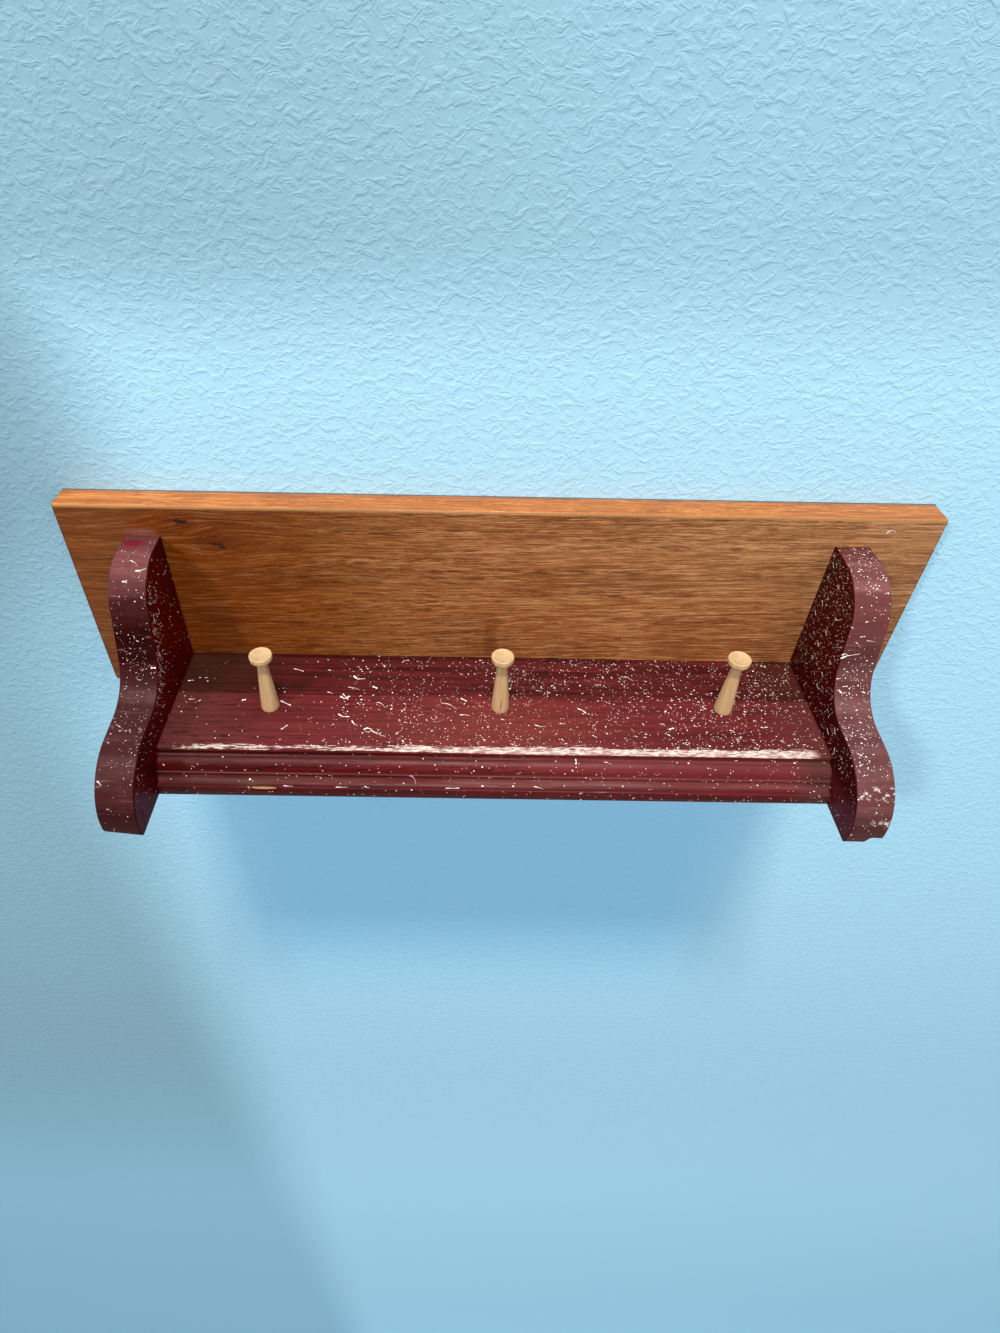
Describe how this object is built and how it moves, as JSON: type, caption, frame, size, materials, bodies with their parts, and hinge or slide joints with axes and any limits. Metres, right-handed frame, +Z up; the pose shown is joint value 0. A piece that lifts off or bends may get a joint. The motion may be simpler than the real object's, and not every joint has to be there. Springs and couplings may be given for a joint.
{
  "type": "wall plate rack",
  "caption": "Wall plate rack: a flat oak back board, a moulded shelf between sawn brackets, and turned pegs that keep plates from sliding off the shelf.",
  "frame": {"origin": "on the wall plane, which is the back board's rear face, midway between the round entries of the two keyholes", "axes": "+X to the right along the rack's length as seen from the room, +Y into the wall, +Z up"},
  "size_m": [0.61, 0.1695, 0.165],
  "materials": {
    "oak": "brown-stained oak with open grain under satin varnish",
    "burgundy_paint": "burgundy satin paint on wood, spattered with cream, worn white along the moulding's edge",
    "birch": "plain pale wood, sanded and left unpainted",
    "screw_steel": "zinc-plated steel",
    "plate_steel": "zinc-plated steel plate"
  },
  "bodies": {
    "root": {"back_board": "oak", "shelf": "burgundy_paint", "left_bracket": "burgundy_paint", "right_bracket": "burgundy_paint", "peg_left": "birch", "peg_centre": "birch", "peg_right": "birch", "board_screws": "screw_steel", "bracket_screws": "screw_steel", "screw_plugs": "burgundy_paint", "left_hanger": "plate_steel", "right_hanger": "plate_steel", "hanger_screws": "screw_steel"}
  },
  "joints": []
}
